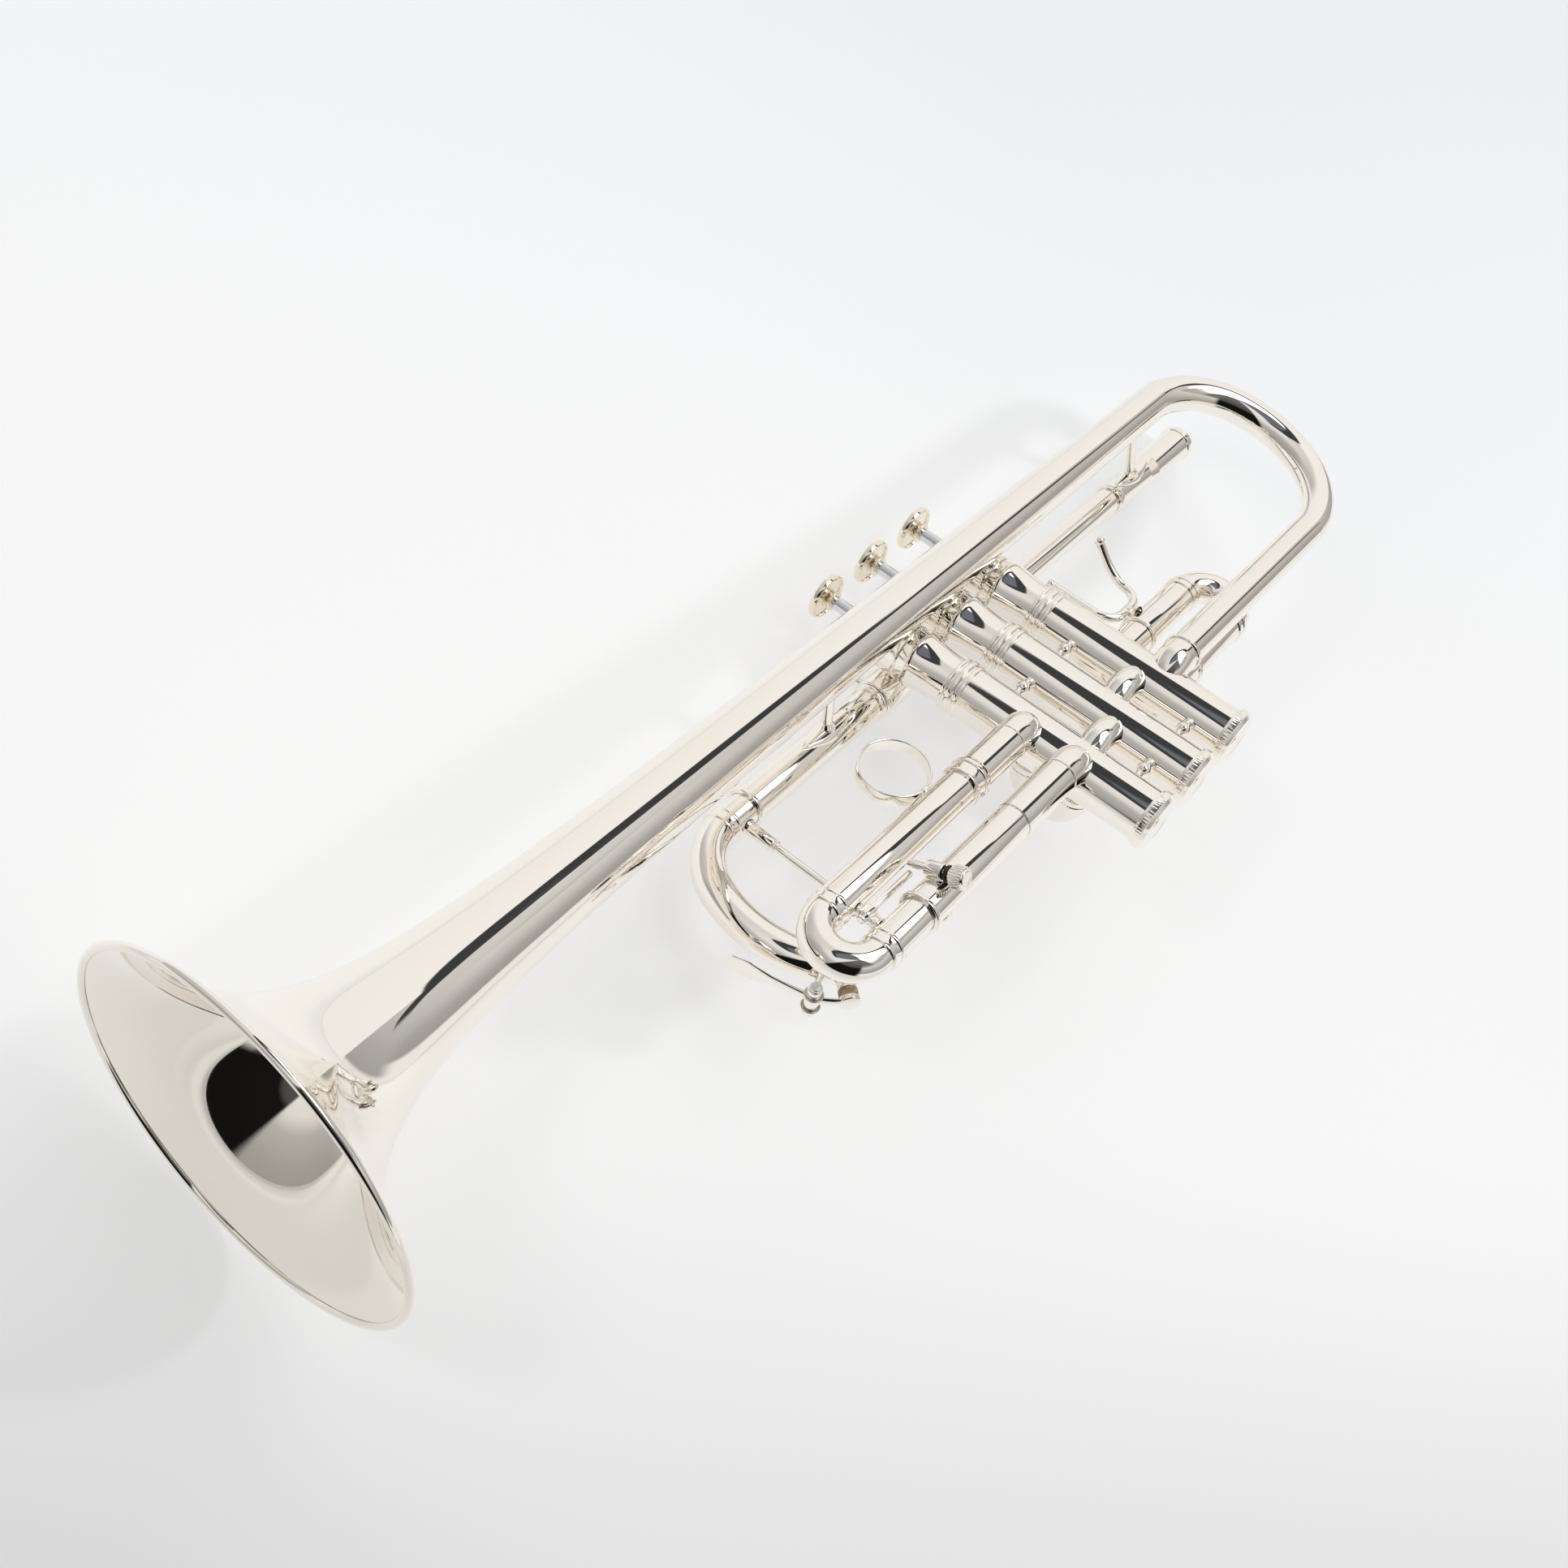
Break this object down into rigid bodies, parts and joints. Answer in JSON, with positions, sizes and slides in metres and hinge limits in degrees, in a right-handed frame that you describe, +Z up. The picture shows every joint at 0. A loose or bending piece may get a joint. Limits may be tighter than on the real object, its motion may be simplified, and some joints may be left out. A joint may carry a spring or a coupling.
{
  "type": "trumpet",
  "caption": "Silver-plated trumpet with sprung piston valves, sliding tuning crooks, a water key, a finger ring, a thumb saddle and a flared bell, resting on its side.",
  "frame": {"origin": "on the floor, under the middle of the instrument's bounding box", "axes": "+Z up from the surface the trumpet rests on; +X towards the bell; the finger buttons point to -Y and down, because the trumpet lies on its right side"},
  "size_m": [0.4854, 0.1718, 0.1203],
  "materials": {
    "silver": "polished silver plate",
    "button_gilt": "polished warm silver plate",
    "piston_steel": "fine satin",
    "spring_wire": "drawn wire",
    "black_rubber": "smooth matte",
    "felt": "felt",
    "cork": "cut cork"
  },
  "bodies": {
    "horn": {"bell_flare": "silver", "bell_rim": "silver", "bell_tail": "silver", "bell_bow": "silver", "bell_lower_leg": "silver", "bell_knuckle": "silver", "casing_1": "silver", "casing_2": "silver", "casing_3": "silver", "top_caps": "silver", "bottom_cap_1": "silver", "bottom_cap_2": "silver", "bottom_cap_3": "silver", "casing_studs": "silver", "intervalve_knuckles": "silver", "cap_felts": "felt", "leadpipe": "silver", "mouthpiece_receiver": "silver", "front_brace": "silver", "rear_brace": "silver", "pinky_hook": "silver", "tuning_outer_upper": "silver", "tuning_outer_lower": "silver", "third_tube_upper": "silver", "third_tube_lower": "silver", "slide_stop_post": "silver", "stop_thumb_screw": "silver", "stop_o_ring": "black_rubber", "first_tubes": "silver", "second_outer_tubes": "silver", "valve_spring_1": "spring_wire", "valve_spring_2": "spring_wire", "valve_spring_3": "spring_wire"},
    "valve_1": {"piston_1": "piston_steel", "valve_stem_1": "piston_steel", "finger_button_1": "button_gilt"},
    "valve_2": {"piston_2": "piston_steel", "valve_stem_2": "piston_steel", "finger_button_2": "button_gilt"},
    "valve_3": {"piston_3": "piston_steel", "valve_stem_3": "piston_steel", "finger_button_3": "button_gilt"},
    "tuning_slide": {"tuning_crook": "silver", "tuning_inner_tubes": "silver", "tuning_brace": "silver", "water_key_saddle": "silver", "water_key_screw": "piston_steel", "water_key_spring": "spring_wire"},
    "water_key": {"water_key_lever": "silver", "water_key_cork": "cork"},
    "third_slide": {"third_crook": "silver", "third_sleeve": "silver", "third_inner_tube": "silver", "finger_ring": "silver", "third_brace": "silver"},
    "first_slide": {"first_crook": "silver", "first_sleeves": "silver", "thumb_saddle": "silver"},
    "second_slide": {"second_crook": "silver", "second_inner_tubes": "silver"}
  },
  "joints": [
    {"name": "valve_1_press", "type": "slide", "parent": "horn", "child": "valve_1", "axis": [-0.0163, 0.9176, 0.3971], "range_m": [0, 0.0165], "stiffness_N_per_m": 120, "springref_m": -0.02, "deforming": ["valve_spring_1"]},
    {"name": "valve_2_press", "type": "slide", "parent": "horn", "child": "valve_2", "axis": [-0.0163, 0.9176, 0.3971], "range_m": [0, 0.0165], "stiffness_N_per_m": 120, "springref_m": -0.02, "deforming": ["valve_spring_2"]},
    {"name": "valve_3_press", "type": "slide", "parent": "horn", "child": "valve_3", "axis": [-0.0163, 0.9176, 0.3971], "range_m": [0, 0.0165], "stiffness_N_per_m": 120, "springref_m": -0.02, "deforming": ["valve_spring_3"]},
    {"name": "tuning_slide_pull", "type": "slide", "parent": "horn", "child": "tuning_slide", "axis": [0.9992, 0, 0.0409], "range_m": [0, 0.04]},
    {"name": "water_key_press", "type": "hinge", "parent": "tuning_slide", "child": "water_key", "pos_m": [0.08053, 0.04906, 0.04462], "axis": [0.0375, 0.3975, -0.9168], "range_deg": [0, 12], "stiffness_Nm_per_rad": 0.03, "springref_deg": -28.65},
    {"name": "third_slide_pull", "type": "slide", "parent": "horn", "child": "third_slide", "axis": [0.9992, 0, 0.0409], "range_m": [0, 0.03]},
    {"name": "first_slide_pull", "type": "slide", "parent": "horn", "child": "first_slide", "axis": [-0.9992, 0, -0.0409], "range_m": [0, 0.02]},
    {"name": "second_slide_pull", "type": "slide", "parent": "horn", "child": "second_slide", "axis": [0.0375, 0.3975, -0.9168], "range_m": [0, 0.015]}
  ]
}
